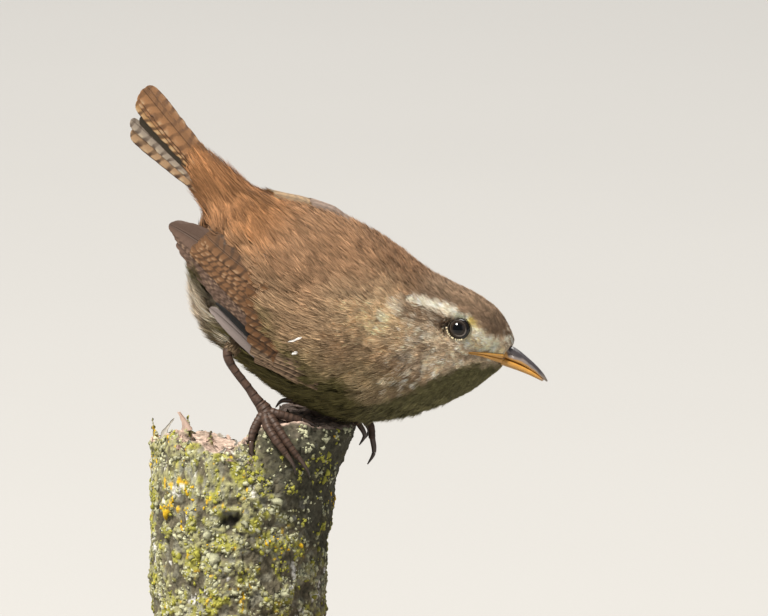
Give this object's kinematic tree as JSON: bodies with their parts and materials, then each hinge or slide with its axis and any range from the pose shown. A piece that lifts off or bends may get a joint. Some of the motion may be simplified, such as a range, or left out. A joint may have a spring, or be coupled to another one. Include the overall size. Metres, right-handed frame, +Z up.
{
  "type": "mounted wren",
  "caption": "Life-size small brown bird crouched on a broken branch stub, with short wings folded, tail cocked and thin bill, held on a round display stand.",
  "frame": {"origin": "centre of the display stand's flat underside", "axes": "+X the way the bird faces, +Y to the bird's left, +Z up"},
  "size_m": [0.078, 0.06, 0.1103],
  "materials": {
    "plumage_brown": "matt",
    "plumage_buff": "matt",
    "plumage_rufous": "matt",
    "eye": "gloss",
    "bill_dark": "satin",
    "bill_yellow": "satin",
    "leg": "satin",
    "claw": "satin",
    "branch": "rough bark with lichen",
    "rod": "brushed",
    "base": "satin"
  },
  "bodies": {
    "root": {"torso": "plumage_brown", "neck": "plumage_brown", "head": "plumage_buff", "bill_upper": "bill_dark", "bill_lower": "bill_yellow", "eye_right": "eye", "eye_left": "eye", "wing_right": "plumage_rufous", "wing_left": "plumage_rufous", "tail": "plumage_rufous", "leg_right": "leg", "leg_left": "leg", "foot_right": "leg", "foot_left": "leg", "claw_right_hind": "claw", "claw_right_inner": "claw", "claw_right_middle": "claw", "claw_right_outer": "claw", "claw_left_hind": "claw", "claw_left_inner": "claw", "claw_left_middle": "claw", "claw_left_outer": "claw", "perch": "branch", "stand_rod": "rod", "stand_base": "base"}
  },
  "joints": []
}
